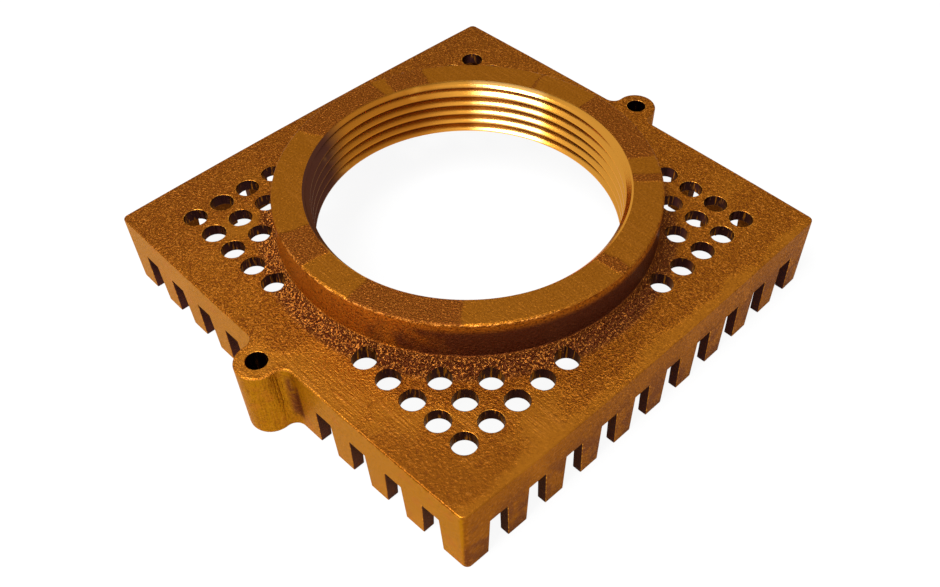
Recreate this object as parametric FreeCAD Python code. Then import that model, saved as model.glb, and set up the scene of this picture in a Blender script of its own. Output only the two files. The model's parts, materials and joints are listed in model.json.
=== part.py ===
import FreeCAD, Part
import math
import os

# Bilge strainer: a square box open at the bottom, cast in one piece in bronze.
# A raised ring on its top is tapped for a 3 inch suction pipe, each corner of the top
# is drilled through, the skirt is slotted up from its feet, and two lugs take screws.
# Millimetres, +Z up. The origin is on the floor, under the middle of the box.

# Box
box_side = 133.4            # flat size of the square, corner to corner
side_crown = 0.9            # how far each side swells out at its middle
corner_radius = 1.6         # upright outer corners
skirt_height = 22.2         # from the feet to the flat top
top_thickness = 3.5
lug_side_draft = 0.9        # how far the two lug sides lean in from the top to the feet
lug_side_wall = 3.2         # skirt at the feet of the two lug sides
plain_side_wall = 2.6       # skirt of the two plain sides
top_edge_round = 0.5
inner_corner_radius = 2.0   # upright corners inside the skirt
roof_fillet = 1.8           # where the skirt meets the underside of the top

# Slots in the skirt, open at the feet and drafted so that they widen downwards
slot_top_width = 5.3
slot_foot_width = 6.3
slot_height = 12.7
slot_pitch = 12.4
corner_land = 7.0           # least solid skirt left beside a corner
lug_land = 2.0              # least solid skirt left beside a lug's root

# Drilled holes in the corners of the top, on a square grid
hole_diameter = 6.35
hole_inset = 14.2           # first hole from the two sides of its corner
hole_pitch = 8.64
hole_ring_gap = 0.6         # least metal between a hole and the ring's wall

# Raised ring with the pipe bore
ring_height = 14.1
ring_diameter = 102.9
ring_edge_round = 0.7
ring_foot_fillet = 3.8
bore_diameter = 83.0        # across the thread's crests
lead_in_diameter = 86.2     # countersink at the mouth
lead_in_height = 1.9

# Right-handed pipe thread, wound up the bore
thread_pitch = 3.175        # 8 turns to the inch
thread_depth = 1.5          # from the crests out to the roots
thread_crest_flat = 0.5
thread_root_flat = 0.4
thread_mark_drop = 2.4      # from the mouth down to the middle of a root, at the mark
thread_mark_angle = 45      # degrees from +X round to the mark

# Screw lugs on two opposite sides, along X
lug_reach = 4.4             # screw centre outside the flat side
lug_radius = 5.8
lug_hole_diameter = 5.5
lug_root_fillet = 3.0

# Worked out
top_z = skirt_height
roof_z = skirt_height - top_thickness
mouth_z = skirt_height + ring_height
half_side = box_side / 2
inner_half_x = half_side - lug_side_draft - lug_side_wall
inner_half_y = half_side - plain_side_wall
lug_centre = half_side + lug_reach
past = 2.0                  # how far a cutting tool runs beyond the metal
thread_past = 0.2           # how far the thread's cutter starts inside the bore
thread_pieces = 3           # the cutter's lengths in one turn
thread_start_angle = 200    # degrees, clear of the bore's own seam
same_place = 0.001          # points this close are taken as one when edges are picked


def crowned_outline(half_x, half_y, height):
    # A level rectangle whose sides are shallow arcs.
    corners = [(-half_x, -half_y), (half_x, -half_y), (half_x, half_y), (-half_x, half_y)]
    out_x = half_x + side_crown
    out_y = half_y + side_crown
    middles = [(0, -out_y), (out_x, 0), (0, out_y), (-out_x, 0)]
    edges = []
    for side in range(4):
        start = FreeCAD.Vector(*corners[side], height)
        middle = FreeCAD.Vector(*middles[side], height)
        end = FreeCAD.Vector(*corners[(side + 1) % 4], height)
        edges.append(Part.Arc(start, middle, end).toShape())
    return Part.Wire(edges)


def crowned_box(low_outline, high_outline, radius):
    # The ruled solid between two crowned outlines, with its upright corners rounded.
    box = Part.makeLoft([low_outline, high_outline], True, True)
    return box.makeFillet(radius, rising_edges(box))


def rising_edges(shape):
    # Edges that climb from one level to another.
    found = []
    for edge in shape.Edges:
        if edge.BoundBox.ZLength > skirt_height / 2:
            found.append(edge)
    return found


def edges_at_height(shape, height):
    # Edges that lie wholly in the level plane at this height.
    found = []
    for edge in shape.Edges:
        box = edge.BoundBox
        if abs(box.ZMin - height) < same_place and abs(box.ZMax - height) < same_place:
            found.append(edge)
    return found


def circles_at(shape, radius, height):
    # Round edges about the Z axis with this radius, at this height.
    found = []
    for edge in edges_at_height(shape, height):
        if isinstance(edge.Curve, Part.Circle) and abs(edge.Curve.Radius - radius) < same_place:
            if edge.Curve.Center.sub(FreeCAD.Vector(0, 0, height)).Length < same_place:
                found.append(edge)
    return found


def upright_cylinder(diameter, x, y, low_z, high_z):
    return Part.makeCylinder(diameter / 2, high_z - low_z, FreeCAD.Vector(x, y, low_z))


def with_lug(body, side):
    # Adds the lug on the +X side (side = 1) or the -X side (side = -1), leaning as its wall does.
    low_centre = side * (lug_centre - lug_side_draft)
    root_x = side * inner_half_x
    outline = [
        FreeCAD.Vector(root_x, -lug_radius, 0),
        FreeCAD.Vector(low_centre, -lug_radius, 0),
        FreeCAD.Vector(low_centre + side * lug_radius, 0, 0),
        FreeCAD.Vector(low_centre, lug_radius, 0),
        FreeCAD.Vector(root_x, lug_radius, 0),
    ]
    edges = [
        Part.makeLine(outline[0], outline[1]),
        Part.Arc(outline[1], outline[2], outline[3]).toShape(),
        Part.makeLine(outline[3], outline[4]),
        Part.makeLine(outline[4], outline[0]),
    ]
    lug = Part.Face(Part.Wire(edges)).extrude(FreeCAD.Vector(side * lug_side_draft, 0, top_z))
    joined = body.fuse(lug).removeSplitter()
    roots = []
    for edge in rising_edges(joined):
        middle = edge.BoundBox.Center
        beside_lug = abs(abs(middle.y) - lug_radius) < same_place
        on_wall = abs(middle.x) < half_side + side_crown
        if beside_lug and on_wall and middle.x * side > 0:
            roots.append(edge)
    return joined.makeFillet(lug_root_fillet, roots)


def slot_places():
    # Slot centres along a side, evenly about its middle.
    usable = box_side - 2 * corner_land - slot_foot_width
    count = int(usable / slot_pitch) + 1
    return [(index - (count - 1) / 2) * slot_pitch for index in range(count)]


def slot_bar(place):
    # A bar of the slot's section through the +X side of the skirt.
    inner_x = min(inner_half_x, inner_half_y) - past
    half_top = slot_top_width / 2
    half_foot = slot_foot_width / 2
    widening = (half_foot - half_top) / slot_height
    half_low = half_foot + past * widening
    section = [
        (place - half_low, -past),
        (place + half_low, -past),
        (place + half_top, slot_height),
        (place - half_top, slot_height),
    ]
    points = [FreeCAD.Vector(inner_x, y, z) for y, z in section + section[:1]]
    depth = half_side + side_crown + past - inner_x
    return Part.Face(Part.makePolygon(points)).extrude(FreeCAD.Vector(depth, 0, 0))


def slot_cutters():
    # A bar for each slot, on all four sides.
    root_half_width = lug_radius + lug_root_fillet
    cutters = []
    for side in range(4):
        lug_side = side % 2 == 0
        for place in slot_places():
            clear_of_lug = abs(place) - slot_foot_width / 2 > root_half_width + lug_land
            if lug_side and not clear_of_lug:
                continue
            bar = slot_bar(place)
            bar.rotate(FreeCAD.Vector(0, 0, 0), FreeCAD.Vector(0, 0, 1), 90 * side)
            cutters.append(bar)
    return cutters


def hole_places():
    # One corner's grid from its outermost hole inwards, as far as the ring leaves room.
    first = half_side - hole_inset
    per_row = int(first / hole_pitch) + 1
    places = []
    for row in range(per_row):
        for column in range(per_row):
            x = first - column * hole_pitch
            y = first - row * hole_pitch
            room = math.hypot(x, y) - ring_diameter / 2 - hole_diameter / 2
            if room > hole_ring_gap and min(x, y) > hole_diameter:
                places.append((x, y))
    return places


def hole_drills():
    drills = []
    for x_sign in (1, -1):
        for y_sign in (1, -1):
            for x, y in hole_places():
                low = roof_z - past
                high = top_z + ring_foot_fillet + past
                drills.append(upright_cylinder(hole_diameter, x_sign * x, y_sign * y, low, high))
    return drills


def thread_cutter():
    # One length of the thread's groove, with the middle of its root at height 0 on +X.
    root_radius = bore_diameter / 2 + thread_depth
    inner_radius = bore_diameter / 2 - thread_past
    flank = (thread_pitch - thread_crest_flat - thread_root_flat) / 2
    half_root = thread_root_flat / 2
    half_inner = half_root + flank * (root_radius - inner_radius) / thread_depth
    section = [
        FreeCAD.Vector(root_radius, 0, -half_root),
        FreeCAD.Vector(root_radius, 0, half_root),
        FreeCAD.Vector(inner_radius, 0, half_inner),
        FreeCAD.Vector(inner_radius, 0, -half_inner),
    ]
    helix = Part.makeHelix(thread_pitch, thread_pitch / thread_pieces, root_radius)
    outline = Part.makePolygon(section + section[:1])
    return Part.Wire(helix.Edges).makePipeShell([outline], True, True)


def thread_cutters():
    # The lengths of the groove from under the roof to above the mouth.
    turned_back = (thread_start_angle - thread_mark_angle) / 360
    height = mouth_z - thread_mark_drop + turned_back * thread_pitch
    while height > roof_z - thread_pitch:
        height -= thread_pitch
    angle = thread_start_angle
    cutters = []
    while height < mouth_z + thread_pitch:
        cutter = thread_cutter()
        cutter.rotate(FreeCAD.Vector(0, 0, 0), FreeCAD.Vector(0, 0, 1), angle)
        cutter.translate(FreeCAD.Vector(0, 0, height))
        if cutter.BoundBox.ZMax > roof_z and cutter.BoundBox.ZMin < mouth_z:
            cutters.append(cutter)
        height += thread_pitch / thread_pieces
        angle += 360 / thread_pieces
    return cutters


def strainer_body():
    feet = crowned_outline(half_side - lug_side_draft, half_side, 0)
    top = crowned_outline(half_side, half_side, top_z)
    body = crowned_box(feet, top, corner_radius)
    for side in (1, -1):
        body = with_lug(body, side)
    body = body.makeFillet(top_edge_round, edges_at_height(body, top_z))

    ring = upright_cylinder(ring_diameter, 0, 0, roof_z, mouth_z)
    body = body.fuse(ring).removeSplitter()
    body = body.makeFillet(ring_foot_fillet, circles_at(body, ring_diameter / 2, top_z))
    body = body.makeFillet(ring_edge_round, circles_at(body, ring_diameter / 2, mouth_z))

    mouth = crowned_outline(inner_half_x, inner_half_y, -past)
    roof = crowned_outline(inner_half_x, inner_half_y, roof_z)
    cavity = crowned_box(mouth, roof, inner_corner_radius)
    cavity = cavity.makeFillet(roof_fillet, edges_at_height(cavity, roof_z))
    bore = upright_cylinder(bore_diameter, 0, 0, roof_z - past, mouth_z + past)
    lead_in_low = mouth_z - lead_in_height
    lead_in_slope = (lead_in_diameter - bore_diameter) / 2 / lead_in_height
    lead_in = Part.makeCone(
        bore_diameter / 2,
        lead_in_diameter / 2 + past * lead_in_slope,
        lead_in_height + past,
        FreeCAD.Vector(0, 0, lead_in_low),
    )
    screw_holes = []
    for side in (1, -1):
        screw_holes.append(upright_cylinder(lug_hole_diameter, side * lug_centre, 0, -past, top_z + past))

    body = body.cut(cavity)
    body = body.cut(slot_cutters())
    body = body.cut(hole_drills())
    body = body.cut([bore, lead_in] + screw_holes)
    body = body.cut(thread_cutters())
    return body


os.makedirs("parts", exist_ok=True)
body = strainer_body()
solid = body.Solids[0]
solid.exportStep("parts/strainer_body.step")

box = solid.optimalBoundingBox(False)
print("solids", len(body.Solids), "valid", solid.isValid(), "closed", solid.isClosed())
print("box", round(box.XLength, 2), round(box.YLength, 2), round(box.ZLength, 2), "faces", len(solid.Faces))
print("volume cm3", round(solid.Volume / 1000, 2), "slots per plain side", len(slot_places()))
print("holes per corner", len(hole_places()))
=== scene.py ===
import json
import math

import bmesh
import bpy
from mathutils import Matrix, Vector


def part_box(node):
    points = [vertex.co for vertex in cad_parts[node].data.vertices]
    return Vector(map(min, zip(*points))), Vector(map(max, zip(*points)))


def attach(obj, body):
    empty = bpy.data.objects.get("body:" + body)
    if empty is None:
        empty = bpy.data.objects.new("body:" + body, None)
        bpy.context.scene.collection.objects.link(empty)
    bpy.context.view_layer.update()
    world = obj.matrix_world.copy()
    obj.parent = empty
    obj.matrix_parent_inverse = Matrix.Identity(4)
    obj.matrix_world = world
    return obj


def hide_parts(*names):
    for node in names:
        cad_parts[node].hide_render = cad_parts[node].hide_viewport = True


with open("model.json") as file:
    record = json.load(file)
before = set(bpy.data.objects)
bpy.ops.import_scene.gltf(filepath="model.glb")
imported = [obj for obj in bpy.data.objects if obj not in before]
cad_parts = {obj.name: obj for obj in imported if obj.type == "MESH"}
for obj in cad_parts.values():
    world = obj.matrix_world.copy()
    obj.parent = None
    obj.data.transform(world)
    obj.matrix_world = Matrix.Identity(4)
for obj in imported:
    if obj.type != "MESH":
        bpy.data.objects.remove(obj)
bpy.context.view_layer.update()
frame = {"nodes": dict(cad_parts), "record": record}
mm = 0.001
bodyNode = frame["nodes"]["strainer_body"]
mounts = {mount["name"]: mount for mount in frame["record"]["mounts"]}
boreRadius = mounts["pipe_thread"]["dims"]["r_mm"] * mm
topHeight = mounts["lug_screws"]["pos_m"][2]
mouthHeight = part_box("strainer_body")[1].z
screwPlace = mounts["lug_screws"]["dims"]["spacing_x_mm"] * mm / 2


# The casting: a copy of the frame's own mesh, with its thread recut and its edges broken
casting = {
    "mergeWithin": 0.001 * mm,
    "dropEdgesUnder": 0.05 * mm,
    "flatWithin": 0.3,              # degrees
    "sharpOver": 60,                # degrees
    "smoothUnder": 50,              # degrees
    "crispOver": 12,                # degrees, between two machined faces
    "edgeBreak": 0.25 * mm,
    "roofHeight": 18.7 * mm,
    "ringRadius": 51.45 * mm,
    "footRadius": 3.8 * mm,
    "holeRadius": 3.175 * mm,
    "holesWithin": 60 * mm,         # no drilled wall lies further out, along X or Y
    "topRound": 0.5 * mm,
    "screwRadius": 2.75 * mm,
    "slotHeight": 12.7 * mm,
    "slotsWithin": 62 * mm,         # no slot lies further from the middle of its side
    "skirtInside": 61.5 * mm,
    "lugClear": 10 * mm,
    "uprightUnder": 0.6,            # share of a face's normal that points up or down
    "levelOver": 0.95,
    "normalWeight": 80,
}
finishes = ["skin", "machined", "drilled", "slotted", "broken"]

# Pipe thread, right handed, open at both ends of the bore, a hair larger than the frame's own
thread = {
    "pitch": 3.175 * mm,
    "crestRadius": boreRadius + 0.05 * mm,
    "rootRadius": 43.3 * mm,
    "crestFlat": 0.45 * mm,
    "rootFlat": 0.45 * mm,
    "rootBelowMouth": 2.4 * mm,     # at rootAngle
    "rootAngle": 45,
    "stepsPerTurn": 144,
    "turns": 8,
    "edgeRound": 0.2 * mm,
    "ridgeOver": 30,                # degrees
    "leadInRadius": 43.35 * mm,     # of the countersink at the mouth
    "leadInSlope": 0.842,           # outward for each step up
    "past": 1.0 * mm,               # how far the cutters run beyond the metal
}


def plainCopy(node):
    # The node's own mesh, merged, and with its flat faces made whole
    bm = bmesh.new()
    bm.from_mesh(node.data)
    bmesh.ops.remove_doubles(bm, verts=bm.verts, dist=casting["mergeWithin"])
    bmesh.ops.dissolve_degenerate(bm, dist=casting["dropEdgesUnder"], edges=bm.edges)
    limit = math.radians(casting["flatWithin"])
    bmesh.ops.dissolve_limit(bm, angle_limit=limit, verts=bm.verts, edges=bm.edges)
    return bm


def edgeToBreak(edge):
    # Square edges, but not the bore's, the rounds on top, or a hole that runs into the ring's foot
    middle = (edge.verts[0].co + edge.verts[1].co) / 2
    radius = middle.xy.length
    if edge.calc_face_angle(0) < math.radians(casting["sharpOver"]):
        return False
    if radius < casting["ringRadius"] and middle.z > casting["roofHeight"] - mm:
        return False
    onTop = middle.z > topHeight - casting["topRound"]
    nearFoot = radius < casting["ringRadius"] + casting["footRadius"] + 2 * casting["holeRadius"]
    return not (onTop and nearFoot)


def breakEdges(bm):
    edges = [edge for edge in bm.edges if edgeToBreak(edge)]
    made = bmesh.ops.bevel(bm, geom=edges, affect="EDGES", offset=casting["edgeBreak"],
                           offset_type="OFFSET", segments=2, profile=0.5, material=-1,
                           loop_slide=False, clamp_overlap=False)
    for face in made["faces"]:
        face.material_index = finishes.index("broken")


def leadInCutter():
    # The countersink's cone, from inside the bore to above the mouth
    lowRadius = boreRadius - 0.1 * mm
    highRadius = thread["leadInRadius"] + thread["leadInSlope"] * thread["past"]
    depth = (highRadius - lowRadius) / thread["leadInSlope"]
    middle = mouthHeight + thread["past"] - depth / 2
    bm = bmesh.new()
    bmesh.ops.create_cone(bm, cap_ends=True, segments=thread["stepsPerTurn"], radius1=lowRadius,
                          radius2=highRadius, depth=depth, matrix=Matrix.Translation((0, 0, middle)))
    return bm


def threadCutter():
    # One pitch of the section, from the middle of a root to the next, wound up the bore
    pitch = thread["pitch"]
    flank = (pitch - thread["crestFlat"] - thread["rootFlat"]) / 2
    start = mouthHeight - thread["rootBelowMouth"] - pitch * thread["rootAngle"] / 360
    while start > casting["roofHeight"] - pitch - thread["past"]:
        start -= pitch
    climbs = [0, thread["rootFlat"] / 2, flank, thread["crestFlat"], flank, thread["rootFlat"] / 2]
    radii = [thread["rootRadius"]] * 2 + [thread["crestRadius"]] * 2 + [thread["rootRadius"]] * 2
    bm = bmesh.new()
    height = start
    section = []
    for climb, radius in zip(climbs, radii):
        height += climb
        section.append(bm.verts.new((radius, 0, height)))
    edges = [bm.edges.new(pair) for pair in zip(section, section[1:])]
    steps = thread["stepsPerTurn"] * thread["turns"]
    bmesh.ops.spin(bm, geom=section + edges, cent=(0, 0, 0), axis=(0, 0, 1), steps=steps,
                   dvec=(0, 0, pitch / thread["stepsPerTurn"]), angle=math.tau * thread["turns"])
    bmesh.ops.remove_doubles(bm, verts=bm.verts, dist=casting["mergeWithin"])
    trimThread(bm)
    return bm


def trimThread(bm):
    # Cuts the winding level at both ends, rounds the thread's edges and closes it
    low = casting["roofHeight"] - thread["past"]
    high = mouthHeight + thread["past"]
    for level, up in ((low, -1), (high, 1)):
        winding = bm.verts[:] + bm.edges[:] + bm.faces[:]
        bmesh.ops.bisect_plane(bm, geom=winding, dist=casting["mergeWithin"],
                               plane_co=(0, 0, level), plane_no=(0, 0, up), clear_outer=True)
    ridges = [edge for edge in bm.edges if edge.calc_face_angle(0) > math.radians(thread["ridgeOver"])]
    bmesh.ops.bevel(bm, geom=ridges, affect="EDGES", offset=thread["edgeRound"], offset_type="OFFSET",
                    segments=2, profile=0.5, material=-1, clamp_overlap=True)
    rimGlints = [edge for edge in bm.edges if edge.is_boundary]
    bmesh.ops.holes_fill(bm, edges=rimGlints, sides=0)
    bmesh.ops.recalc_face_normals(bm, faces=bm.faces)


def meshObject(name, bm):
    mesh = bpy.data.meshes.new(name)
    bm.to_mesh(mesh)
    bm.free()
    piece = bpy.data.objects.new(name, mesh)
    bpy.context.scene.collection.objects.link(piece)
    return piece


def cutAway(piece, tool):
    cut = piece.modifiers.new("cut", "BOOLEAN")
    cut.operation = "DIFFERENCE"
    cut.solver = "EXACT"
    cut.object = tool
    graph = bpy.context.evaluated_depsgraph_get()
    mesh = bpy.data.meshes.new_from_object(piece.evaluated_get(graph))
    piece.modifiers.clear()
    piece.data = mesh
    bpy.data.objects.remove(tool)


def strainerCasting():
    bm = plainCopy(bodyNode)
    breakEdges(bm)
    piece = meshObject("strainer_casting", bm)
    cutAway(piece, meshObject("lead_in_tool", leadInCutter()))
    cutAway(piece, meshObject("thread_tool", threadCutter()))
    finishFaces(piece)
    return piece


def isDrilled(centre, outer):
    # Walls of the drilled holes and of the screw holes
    fromScrew = math.hypot(abs(centre.x) - screwPlace, centre.y)
    if fromScrew < casting["screwRadius"] + casting["edgeBreak"]:
        return True
    inTop = casting["roofHeight"] < centre.z < topHeight + casting["footRadius"]
    clearOfRing = centre.xy.length > casting["ringRadius"] + mm or centre.z < topHeight - mm
    return inTop and clearOfRing and outer < casting["holesWithin"]


def isSlotWall(centre, normal, outer):
    # A slot's wall looks along the side that it is cut in
    if centre.z > casting["slotHeight"] or outer < casting["skirtInside"]:
        return False
    alongX = abs(normal.x) > abs(normal.y)
    along, across = (centre.x, centre.y) if alongX else (centre.y, centre.x)
    besideLug = abs(centre.x) > casting["skirtInside"] and abs(centre.y) < casting["lugClear"]
    return abs(across) > casting["skirtInside"] and abs(along) < casting["slotsWithin"] and not besideLug


def finishOf(face):
    # Which finish a face has, by where it lies and which way it looks
    centre, normal = face.calc_center_median(), face.normal
    outer = max(abs(centre.x), abs(centre.y))
    inBore = centre.xy.length < thread["leadInRadius"] + 0.1 * mm and normal.xy.dot(centre.xy) < 0
    upright = abs(normal.z) < casting["uprightUnder"]
    if inBore and abs(normal.z) < casting["levelOver"]:
        return "machined"
    if upright and isDrilled(centre, outer):
        return "drilled"
    if upright and isSlotWall(centre, normal, outer):
        return "slotted"
    if face.material_index == finishes.index("broken"):
        return "broken"
    return "skin"


def finishFaces(piece):
    for name in finishes:
        piece.data.materials.append(bpy.data.materials.get(name))
    bm = bmesh.new()
    bm.from_mesh(piece.data)
    machined = finishes.index("machined")
    for face in bm.faces:
        face.material_index = finishes.index(finishOf(face))
        face.smooth = True
    for edge in bm.edges:
        cut = all(face.material_index == machined for face in edge.link_faces)
        limit = casting["crispOver"] if cut else casting["smoothUnder"]
        edge.smooth = edge.calc_face_angle(0) < math.radians(limit)
    bm.to_mesh(piece.data)
    bm.free()
    normals = piece.modifiers.new("normals", "WEIGHTED_NORMAL")
    normals.keep_sharp = True
    normals.weight = casting["normalWeight"]


# Materials. A Wire is a socket that takes part in arithmetic, which adds Math nodes.
class Wire:
    def __init__(self, tree, socket=None):
        self.tree = tree
        self.socket = socket

    def node(self, kind, inputs=None, output=0, **settings):
        made = self.tree.nodes.new(kind)
        for name, value in settings.items():
            setattr(made, name, value)
        for name, value in (inputs or {}).items():
            if isinstance(value, Wire):
                self.tree.links.new(value.socket, made.inputs[name])
            else:
                made.inputs[name].default_value = value
        return Wire(self.tree, made.outputs[output])

    def math(self, operation, *values):
        return self.node("ShaderNodeMath", dict(enumerate((self, *values))), operation=operation)

    def __add__(self, other):
        return self.math("ADD", other)

    def __sub__(self, other):
        return self.math("SUBTRACT", other)

    def __rsub__(self, other):
        return self * -1 + other

    def __mul__(self, other):
        return self.math("MULTIPLY", other)

    __radd__ = __add__
    __rmul__ = __mul__


def rise(value, low, high):
    # 0 below low, 1 above high, smooth between
    return value.node("ShaderNodeMapRange", {"Value": value, "From Min": low, "From Max": high},
                      interpolation_type="SMOOTHSTEP")


def band(value, low, high, soft):
    return rise(value, low - soft, low + soft) * (1 - rise(value, high - soft, high + soft))


def speckle(place, size, detail=2, roughness=0.55, stretch=None, distortion=0.0):
    # Noise with features of about this size
    if stretch:
        place = place.node("ShaderNodeMapping", {"Vector": place, "Scale": stretch})
    return place.node("ShaderNodeTexNoise", {"Vector": place, "Scale": 1 / size, "Detail": detail,
                                             "Roughness": roughness, "Distortion": distortion})


def tint(factor, first, second):
    # Colours mixed by a factor
    values = {0: factor, 6: first, 7: second}
    for index in (6, 7):
        if isinstance(values[index], tuple):
            values[index] = (*values[index], 1)
    return factor.node("ShaderNodeMix", values, output=2, data_type="RGBA")


def newMaterial(name):
    material = bpy.data.materials.new(name)
    material.use_nodes = True
    tree = material.node_tree
    shader = tree.nodes["Principled BSDF"]
    shader.inputs["Metallic"].default_value = 1.0
    shader.inputs["Specular Tint"].default_value = (*bronze["edgeTint"], 1)
    place = Wire(tree).node("ShaderNodeTexCoord", output=3)
    return tree, shader, place


def feed(tree, shader, colour, roughness, height, distance, strength=1.0):
    tree.links.new(colour.socket, shader.inputs["Base Color"])
    if isinstance(roughness, Wire):
        tree.links.new(roughness.socket, shader.inputs["Roughness"])
    else:
        shader.inputs["Roughness"].default_value = roughness
    bump = height.node("ShaderNodeBump", {"Height": height, "Strength": strength, "Distance": distance})
    tree.links.new(bump.socket, shader.inputs["Normal"])


def coordinates(place):
    # X, Y, the height, the distance from the bore's axis and the angle round it in degrees
    x, y, z = (place.node("ShaderNodeSeparateXYZ", {"Vector": place}, output=axis) for axis in range(3))
    radius = (x * x + y * y).math("SQRT")
    angle = y.math("ARCTAN2", x) * (180 / math.pi)
    return x, y, z, radius, angle + 360 * angle.math("LESS_THAN", 0)


bronze = {
    "gold": (0.33, 0.112, 0.0085),          # rubbed or ground
    "yellow": (0.355, 0.148, 0.0035),       # painted light: two sides of the skirt made brighter, as lit from the lamp's side
    "salmon": (0.34, 0.100, 0.010),         # patches on them
    "brown": (0.20, 0.060, 0.0046),         # as cast
    "olive": (0.25, 0.083, 0.0060),         # ground top of the ring
    "rust": (0.145, 0.040, 0.0050),         # raw parts of the ring's top, the skirt's inside, and painted shade towards the back of the top
    "red": (0.10, 0.023, 0.0050),           # pits
    "amber": (0.45, 0.130, 0.0095),         # painted light: the ring's wall, bright as where the lamp falls on it
    "wine": (0.080, 0.0175, 0.0105),        # painted shade on the ring's wall and the skirt's shaded sides; also the dark skin of the foot and the lug's root
    "plum": (0.040, 0.0130, 0.0140),        # the darkest painted shade, on the ring's wall and inside the slots; also the thread's plum patch
    "dark": (0.036, 0.0115, 0.0110),        # painted shade inside the holes and in the thread's roots
    "peach": (0.68, 0.25, 0.040),           # painted glints and edge highlights; also the bright lines of scratches
    "machined": (0.60, 0.26, 0.034),
    "polished": (0.85, 0.46, 0.130),        # painted highlight: the thread made brighter where the lamp is mirrored in it
    "copper": (0.36, 0.125, 0.011),         # painted shade: the thread's left part, away from the lamp, darker in patches
    "edgeTint": (0.85, 0.62, 0.48),         # keeps surfaces seen aslant from going white
}

# The grain and larger unevenness of the cast skin
grain = {
    "size": 0.55 * mm,
    "mottle": 5 * mm,
    "blotch": 15 * mm,
    "scratch": 0.5 * mm,
    "acrossTop": (1, 0.05, 1),      # stretch of the scratches on the top
    "upSides": (1, 1, 0.06),        # and of the streaks on the lug
    "nearCorner": (75 * mm, 120 * mm),
    "coarser": 0.45,                # share of coarse grain at the near corner
    "softer": 0.55,                 # share of its depth lost there
}


def added(parts):
    total = parts[0]
    for part in parts[1:]:
        total = total + part
    return total


def skinNoise(place, x, y):
    # The casting's grain, coarser by the near corner, and its larger unevenness
    fine = speckle(place, grain["size"], detail=3, roughness=0.62)
    coarse = speckle(place, 2 * grain["size"], detail=1, roughness=0.5, distortion=0.6)
    nearCorner = rise(-1 * x - y, *grain["nearCorner"])
    return {
        "grain": fine + grain["coarser"] * nearCorner * (coarse - fine),
        "softer": 1 - grain["softer"] * nearCorner,
        "coarse": coarse,
        "mottle": speckle(place, grain["mottle"], roughness=0.5),
        "blotch": speckle(place, grain["blotch"], roughness=0.4),
        "upright": speckle(place, grain["scratch"], roughness=0.5, stretch=grain["upSides"]),
        "scratch": speckle(place, grain["scratch"], roughness=0.5, stretch=grain["acrossTop"]),
    }


# Zones of the ring: a pair is from and to, a third number is how soft both ends are.
# Turns are degrees from +X.
ringSkin = {
    "top": (mouthHeight - 0.4 * mm, mouthHeight - 0.2 * mm),
    "groundSpans": [
        (-1, 20), (21, 61), (75, 79), (112, 159),
        (174, 192), (224, 272), (276, 314), (318, 326),
    ],
    "spanSoft": 0.6,
    "spanWaver": 3,
    "outside": (50.8 * mm, 51.1 * mm),
    "wall": (topHeight + 3 * mm, mouthHeight - 0.6 * mm, 0.5 * mm),
    "tarnishTurns": (180, 226),
    "tarnishWaver": 70,
    "tarnishEnds": (32.6 * mm, 35 * mm),
    # Painted highlight: a dotted bright line along the ring's top outer edge, on its near side
    "rim": (mouthHeight - 0.75 * mm, mouthHeight - 0.2 * mm, 0.1 * mm),
    "rimTurns": (160, 248, 8),
    "footOut": (51.3 * mm, 56.4 * mm, 1.2 * mm),
    "footUp": (topHeight - 0.3 * mm, topHeight + 3 * mm, 0.4 * mm),
    # The foot's painted glints fade round towards the right, away from the lamp
    "glowFades": [(180, 225), (225, 285)],
    "glowFade": 0.35,
}


def ringZones(noise, z, radius, turn):
    # The ring's top, its wall with painted light and shade, its rim with a painted highlight and its foot
    # with painted glints
    waver = noise["mottle"] - 0.5
    ringTop = rise(z, *ringSkin["top"])
    wavyTurn = turn + ringSkin["spanWaver"] * waver
    soft = ringSkin["spanSoft"]
    spans = added([band(wavyTurn, start, end, soft) for start, end in ringSkin["groundSpans"]])
    outside = rise(radius, *ringSkin["outside"])
    wall = outside * band(z, *ringSkin["wall"])
    # Painted shade on the ring's wall, over the turns that face away from the lamp
    shadedPart = rise(turn + ringSkin["tarnishWaver"] * waver, *ringSkin["tarnishTurns"])
    foot = band(radius, *ringSkin["footOut"]) * band(z, *ringSkin["footUp"])
    faded = added([rise(turn, *fade) for fade in ringSkin["glowFades"]])
    return {
        "ringTop": ringTop,
        "ground": ringTop * spans,
        "wall": wall,
        "tarnish": wall * shadedPart * (1 - rise(z, *ringSkin["tarnishEnds"])),
        "ringRim": outside * band(z, *ringSkin["rim"]) * band(turn, *ringSkin["rimTurns"]),
        "foot": foot,
        "footGlow": foot * (1 - ringSkin["glowFade"] * faded),
    }


# Zones of the box, in the same way
boxSkin = {
    "top": (topHeight - 0.5 * mm, topHeight - 0.2 * mm),
    "inside": (65.2 * mm, 65.6 * mm),
    "brightSide": (-0.6 * mm, 0.6 * mm),        # of Y less X
    "dullUnder": (9 * mm, 21 * mm),
    "rubbedPlaces": [                           # x, y and reach in mm
        (-73, 0, 4), (-66, -13, 7), (-63, -25, 8), (-57, -38, 6),
        (-48, -48, 5), (-36, -57, 6), (-45, 41, 4),
    ],
    "rubbedSoft": 6,                            # mm beyond that reach
    "rubbedWaver": 10 * mm,
    "strip": (62 * mm, 66 * mm),                # towards -Y
    "stripShare": 0.7,
    "stripWaver": 6 * mm,
    "farther": (15 * mm, 70 * mm),
    "beyondSide": (-66.9 * mm, -66.2 * mm),
    "lugAcross": (6 * mm, 9 * mm),
    "rootAcross": (-9.9 * mm, -6.6 * mm, 0.6 * mm),
    "rootUp": (4 * mm, 19 * mm, 2 * mm),
    # Painted highlight: a dotted bright line along the lit side's top edge
    "rimOut": (66.2 * mm, 66.4 * mm),
    "rimUp": (topHeight - 0.55 * mm, topHeight - 0.45 * mm),
}


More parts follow.
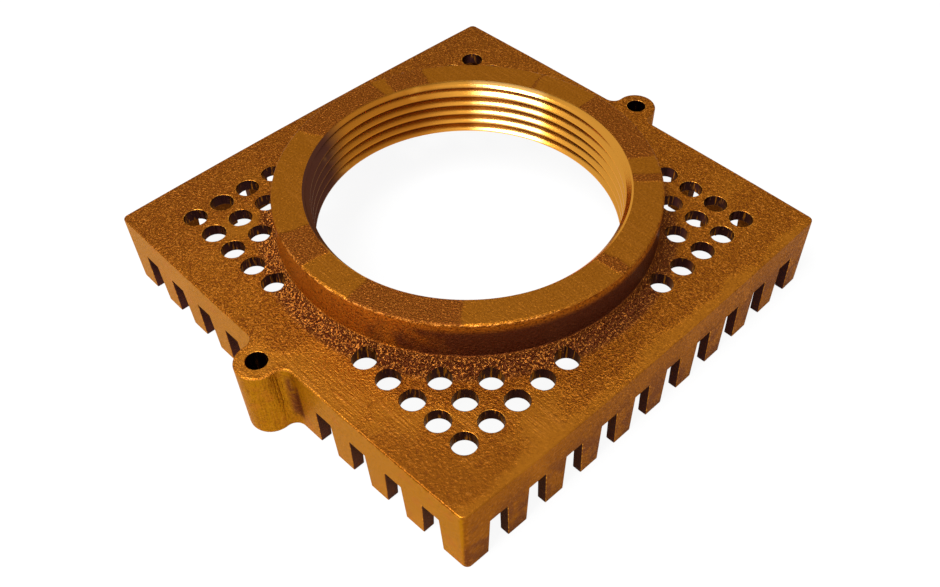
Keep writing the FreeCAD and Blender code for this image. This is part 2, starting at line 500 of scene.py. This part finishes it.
def boxZones(noise, x, y, z):
    # The top, its painted shade towards the back, the sides with painted light and shade, the inside,
    # what is rubbed smooth and the pitted root of the near lug
    waver = noise["mottle"] - 0.5
    onTop = rise(z, *boxSkin["top"])
    below = 1 - onTop
    outer = x.math("ABSOLUTE").math("MAXIMUM", y.math("ABSOLUTE"))
    brightSide = below * rise(y - x, *boxSkin["brightSide"])
    rubs = []
    for rubX, rubY, reach in boxSkin["rubbedPlaces"]:
        offX = x - rubX * mm
        offY = y - rubY * mm
        away = (offX * offX + offY * offY).math("SQRT") + boxSkin["rubbedWaver"] * waver
        rubs.append(1 - rise(away, 0, (reach + boxSkin["rubbedSoft"]) * mm))
    strip = rise(-1 * y + boxSkin["stripWaver"] * waver, *boxSkin["strip"])
    beyondSide = 1 - rise(x, *boxSkin["beyondSide"])
    lugRoot = band(y, *boxSkin["rootAcross"]) * band(z, *boxSkin["rootUp"])
    return {
        "inside": below * (1 - rise(outer, *boxSkin["inside"])),
        "brightSide": brightSide,
        "dullSide": (below - brightSide) * (1 - rise(z, *boxSkin["dullUnder"])),
        "rubbed": added(rubs) * onTop,
        "edgeStrip": boxSkin["stripShare"] * strip * onTop,
        "farther": onTop * rise(y, *boxSkin["farther"]),
        "lug": below * beyondSide * (1 - rise(y.math("ABSOLUTE"), *boxSkin["lugAcross"])),
        "lugRoot": beyondSide * lugRoot,
        "sideRim": brightSide * rise(outer, *boxSkin["rimOut"]) * rise(z, *boxSkin["rimUp"]),
    }


# What lies over the plain metal: the share of each layer, and the noise levels it comes in between
layers = {
    "farther": 0.6,
    "rawSide": 0.25,
    "salmon": 0.4,
    "salmonFrom": (0.55, 0.66),
    "dullSide": 0.75,
    "dullSideFrom": (0.42, 0.60),
    "wall": 0.85,
    "tarnish": 0.9,
    "tarnishDeepens": (215, 290),   # degrees from +X
    "foot": 0.75,
    "lugRoot": 0.9,
    "lugRootFrom": (0.30, 0.45),
    "streak": 0.35,
    "streakFrom": (0.48, 0.60),
    "scratch": 0.22,
    "groundScratch": 0.4,
    "scratchFrom": (0.53, 0.66),
    "pit": 0.85,
    "pitUnder": (0.36, 0.50),
    "glint": 0.35,
    "glintFrom": (0.55, 0.64),
    "footGlint": 0.9,
    "footGlintLift": 0.05,
    "wallGlintLoss": 0.8,
    "rim": 0.8,
    "rimFrom": (0.45, 0.58),
}


def skinColour(noise, zone, raw, turn):
    # From the plain metal to what lies over it
    mottle = noise["mottle"]
    colour = tint(raw, bronze["gold"], bronze["brown"])
    # Painted shade: the top darkens to rust towards the back
    colour = tint(layers["farther"] * zone["farther"], colour, bronze["rust"])
    # Painted light: the sides towards the lamp turn yellow
    colour = tint(zone["brightSide"] * (1 - layers["rawSide"] * raw), colour, bronze["yellow"])
    salmon = layers["salmon"] * zone["brightSide"] * rise(mottle, *layers["salmonFrom"])
    colour = tint(salmon, colour, bronze["salmon"])
    # Painted shade: the sides away from the lamp darken to wine in mottles, most towards the bottom
    dulled = layers["dullSide"] * zone["dullSide"] * rise(mottle, *layers["dullSideFrom"])
    colour = tint(dulled, colour, bronze["wine"])
    colour = tint(zone["ringTop"], colour, tint(zone["ground"], bronze["rust"], bronze["olive"]))
    # Painted light: the ring's wall turns bright amber, as on its lit left part
    colour = tint(layers["wall"] * zone["wall"], colour, bronze["amber"])
    # Painted shade: the ring's wall darkens to wine, then plum, round its front and right
    deep = tint(rise(turn, *layers["tarnishDeepens"]), bronze["wine"], bronze["plum"])
    colour = tint(layers["tarnish"] * zone["tarnish"], colour, deep)
    colour = tint(zone["inside"], colour, bronze["rust"])
    colour = tint(layers["foot"] * zone["foot"], colour, bronze["wine"])
    pitted = layers["lugRoot"] * zone["lugRoot"] * rise(mottle, *layers["lugRootFrom"])
    colour = tint(pitted, colour, bronze["wine"])
    streaked = layers["streak"] * zone["lug"] * rise(noise["upright"], *layers["streakFrom"])
    colour = tint(streaked, colour, bronze["brown"])
    worn = zone["rubbed"] + layers["groundScratch"] * zone["ground"]
    scratched = layers["scratch"] * worn * rise(noise["scratch"], *layers["scratchFrom"])
    return tint(scratched, colour, bronze["peach"])


# How raw the skin is from place to place, its relief and its shine
relief = {
    "rawEven": 0.36,
    "rawBlotch": 0.6,
    "rawSmoothed": 0.34,
    "rawFoot": 0.3,
    "rawFrom": (0.34, 0.66),
    "leastRough": 0.4,
    "brightSideLoss": 0.5,
    "squiggle": (0.01, 0.06),
    "squiggleHeight": 0.8,
    "footGain": 0.8,
    "blotchHeight": 0.3,
    "lugHeight": 0.4,
    "rubbedHeight": 0.25,
    "groundHeight": 0.1,
    "height": 0.5 * mm,
    "roughness": 0.34,
    "rawRoughness": 0.08,
}


def castSkin():
    tree, shader, place = newMaterial("skin")
    x, y, z, radius, turn = coordinates(place)
    noise = skinNoise(place, x, y)
    zone = ringZones(noise, z, radius, turn) | boxZones(noise, x, y, z)
    smoothed = (zone["rubbed"] + zone["edgeStrip"]) * (1 - zone["foot"]) * (1 - zone["ringTop"])
    raw = relief["rawBlotch"] * noise["blotch"] + relief["rawEven"]
    raw = raw - relief["rawSmoothed"] * smoothed + relief["rawFoot"] * zone["foot"]
    raw = rise(raw, *relief["rawFrom"]) * (1 - zone["ground"])
    rough = relief["leastRough"] + (1 - relief["leastRough"]) * raw
    rough = rough * (1 - relief["brightSideLoss"] * zone["brightSide"]) * noise["softer"]

    colour = skinColour(noise, zone, raw, turn)
    pit = layers["pit"] * rough * (1 - rise(noise["grain"], *layers["pitUnder"]))
    colour = tint(pit, colour, bronze["red"])
    # Painted glints: bright peach specks where the grain peaks, more on the ring's foot
    glow = zone["footGlow"]
    glint = rough * rise(noise["grain"] + layers["footGlintLift"] * glow, *layers["glintFrom"])
    glint = glint * (1 - layers["wallGlintLoss"] * zone["wall"])
    colour = tint(glint * (layers["glint"] + layers["footGlint"] * glow), colour, bronze["peach"])
    # Painted highlight: dotted bright lines along the ring's near top edge and the lit side's top edge
    rimGlints = (zone["ringRim"] + zone["sideRim"]) * rise(noise["coarse"], *layers["rimFrom"])
    colour = tint(layers["rim"] * rimGlints, colour, bronze["peach"])

    squiggle = 1 - rise((noise["coarse"] - 0.5).math("ABSOLUTE"), *relief["squiggle"])
    height = noise["grain"] + relief["squiggleHeight"] * squiggle * zone["foot"]
    height = height * rough * (1 + relief["footGain"] * zone["foot"])
    height = height + relief["blotchHeight"] * noise["blotch"]
    height = height + relief["lugHeight"] * zone["lug"] * noise["upright"]
    worn = relief["rubbedHeight"] * zone["rubbed"] + relief["groundHeight"] * zone["ground"]
    height = height + worn * noise["scratch"]
    roughness = relief["roughness"] + relief["rawRoughness"] * raw
    feed(tree, shader, colour, roughness, height, relief["height"])


# The cut thread: turns are degrees from +X, with how soft their ends are
threadFinish = {
    "lineSize": 0.25 * mm,
    "roundBore": (0.05, 0.05, 1),   # stretch of the tool's lines
    "patchSize": 9 * mm,
    "dullTurns": (58, 165, 12),
    "dullFrom": (0.15, 0.45),
    "polishedTurns": (15, 44, 3),
    "grooveFrom": (thread["rootRadius"] - 0.3 * mm, thread["rootRadius"] - 0.1 * mm),
    "grooveEnds": (mouthHeight - 0.9 * mm, mouthHeight - 0.5 * mm),
    "groove": 0.3,
    "stainTurns": (106, 172, 8),
    "stainFrom": (0.10, 0.32),
    "stain": 0.92,
    "roughness": 0.15,
    "lineRoughness": 0.07,
    "dullRoughness": 0.14,
    "lineHeight": 0.05 * mm,
    "lineStrength": 0.2,
}


def machinedThread():
    tree, shader, place = newMaterial("machined")
    z, radius, turn = coordinates(place)[2:]
    lines = speckle(place, threadFinish["lineSize"], roughness=0.6, stretch=threadFinish["roundBore"])
    patches = speckle(place, threadFinish["patchSize"])
    # Painted shade: patches on the thread's left part, away from the lamp, turn darker copper; they are
    # rougher too
    dullShade = band(turn, *threadFinish["dullTurns"]) * rise(patches, *threadFinish["dullFrom"])
    colour = tint(dullShade, bronze["machined"], bronze["copper"])
    # Painted highlight: the thread turns brighter over the turns where the lamp is mirrored
    colour = tint(band(turn, *threadFinish["polishedTurns"]), colour, bronze["polished"])
    # Painted shade: the thread's roots darker, except near the mouth
    groove = rise(radius, *threadFinish["grooveFrom"]) * (1 - rise(z, *threadFinish["grooveEnds"]))
    colour = tint(threadFinish["groove"] * groove, colour, bronze["dark"])
    # A dark plum patch on the bore's left wall
    stain = band(turn, *threadFinish["stainTurns"]) * rise(patches, *threadFinish["stainFrom"])
    colour = tint(threadFinish["stain"] * stain, colour, bronze["plum"])
    roughness = threadFinish["roughness"] + threadFinish["lineRoughness"] * lines
    roughness = roughness + threadFinish["dullRoughness"] * dullShade
    feed(tree, shader, colour, roughness, lines, threadFinish["lineHeight"], threadFinish["lineStrength"])


# Walls of the holes and slots, and the broken edges
wallFinish = {
    "streakSize": 0.7 * mm,
    "downHole": (1, 1, 0.12),       # stretch of the streaks
    "streakFrom": (0.56, 0.68),
    "slotRedFrom": (0.54, 0.74),
    "edgeBareFrom": (0.45, 0.65),
}


def drilledWall():
    tree, shader, place = newMaterial("drilled")
    streaks = speckle(place, wallFinish["streakSize"], roughness=0.6, stretch=wallFinish["downHole"])
    # Painted shade: the holes' walls dark, with lighter drill streaks
    colour = tint(rise(streaks, *wallFinish["streakFrom"]), bronze["dark"], bronze["gold"])
    feed(tree, shader, colour, roughness=0.34, height=streaks, distance=0.1 * mm, strength=0.4)


def slotWall():
    tree, shader, place = newMaterial("slotted")
    fine = speckle(place, grain["size"], roughness=0.6)
    # Painted shade: the slots' walls dark plum, with red mottles
    colour = tint(rise(fine, *wallFinish["slotRedFrom"]), bronze["plum"], bronze["red"])
    feed(tree, shader, colour, roughness=0.5, height=fine, distance=0.4 * mm, strength=0.5)


def brokenEdge():
    tree, shader, place = newMaterial("broken")
    fine = speckle(place, grain["size"], roughness=0.6)
    colour = tint(rise(fine, *wallFinish["edgeBareFrom"]), bronze["brown"], bronze["machined"])
    feed(tree, shader, colour, roughness=0.36, height=fine, distance=0.3 * mm, strength=0.4)


for make in (castSkin, machinedThread, drilledWall, slotWall, brokenEdge):
    make()
print("finishes ready")

piece = strainerCasting()
print("casting", len(piece.data.vertices), len(piece.data.polygons))
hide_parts("strainer_body")
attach(piece, "root")


# The camera of the photograph
photoView = {
    "place": (-146.7 * mm, -154.4 * mm, 219.6 * mm),
    "looksAlong": (0.48215, 0.47335, -0.73721),
    "roll": 0.48,
    "lens": 40.70,
    "shift": (-0.0269, 0.0120),
}


def photoCamera():
    data = bpy.data.cameras.new("photoCamera")
    camera = bpy.data.objects.new("photoCamera", data)
    bpy.context.scene.collection.objects.link(camera)
    data.sensor_width = 36
    data.lens = photoView["lens"]
    data.shift_x, data.shift_y = photoView["shift"]
    data.clip_start = 0.01
    aim = Vector(photoView["looksAlong"]).to_track_quat("-Z", "Y").to_matrix()
    turn = Matrix.Rotation(math.radians(photoView["roll"]), 3, "Z")
    camera.matrix_world = Matrix.Translation(photoView["place"]) @ (aim @ turn).to_4x4()
    bpy.context.scene.camera = camera


photoCamera()


# Studio: a pale floor, one long soft lamp high on the left and an even white room
studio = {
    "floorSize": 6.0,
    "floorColour": (0.9, 0.9, 0.9),
    "shownWhite": 0.92,             # share of plain white that the camera sees in the floor
    "mirroredWhite": 0.33,          # and that the metal mirrors
    "roomLight": 0.55,
    "lampPlace": (-0.45, -0.02, 0.80),
    "lampAlong": (-0.78, -0.41, -0.45),
    "lampLength": 0.62,
    "lampWidth": 0.34,
    "lampPower": 13.5,
}


def seenShare(tree, camera, mirrored):
    # The share of white by what kind of ray meets the surface
    wire = Wire(tree)
    seen, glossy, through = (wire.node("ShaderNodeLightPath", output=name) for name in
                             ("Is Camera Ray", "Is Glossy Ray", "Is Transmission Ray"))
    return (seen * camera).math("MAXIMUM", glossy.math("MAXIMUM", through) * mirrored)


def paleFloor():
    bm = bmesh.new()
    bmesh.ops.create_grid(bm, x_segments=1, y_segments=1, size=studio["floorSize"] / 2)
    floor = meshObject("floor", bm)
    material = bpy.data.materials.new("paleFloor")
    material.use_nodes = True
    tree = material.node_tree
    shader = tree.nodes["Principled BSDF"]
    shader.inputs["Base Color"].default_value = (*studio["floorColour"], 1)
    shader.inputs["Roughness"].default_value = 0.9
    shader.inputs["Specular IOR Level"].default_value = 0.0
    share = seenShare(tree, studio["shownWhite"], studio["mirroredWhite"])
    white = share.node("ShaderNodeEmission", {"Color": (1, 1, 1, 1), "Strength": 1.0})
    mixed = share.node("ShaderNodeMixShader", {0: share, 1: Wire(tree, shader.outputs[0]), 2: white})
    tree.links.new(mixed.socket, tree.nodes["Material Output"].inputs["Surface"])
    floor.data.materials.append(material)


def whiteRoom():
    world = bpy.data.worlds.new("room")
    world.use_nodes = True
    tree = world.node_tree
    share = seenShare(tree, 1.0, 1.0)
    strength = studio["roomLight"] + (1 - studio["roomLight"]) * share
    tree.links.new(strength.socket, tree.nodes["Background"].inputs["Strength"])
    tree.nodes["Background"].inputs["Color"].default_value = (1, 1, 1, 1)
    bpy.context.scene.world = world


def softLamp():
    data = bpy.data.lights.new("softLamp", "AREA")
    data.energy = studio["lampPower"]
    data.shape = "RECTANGLE"
    data.size = studio["lampLength"]
    data.size_y = studio["lampWidth"]
    lamp = bpy.data.objects.new("softLamp", data)
    bpy.context.scene.collection.objects.link(lamp)
    place = Vector(studio["lampPlace"])
    back = place.normalized()
    across = back.cross(Vector(studio["lampAlong"])).normalized()
    aim = Matrix((across.cross(back), across, back)).transposed().to_4x4()
    lamp.matrix_world = Matrix.Translation(place) @ aim


paleFloor()
whiteRoom()
softLamp()
bpy.context.scene.view_settings.view_transform = "Standard"
print("studio ready")
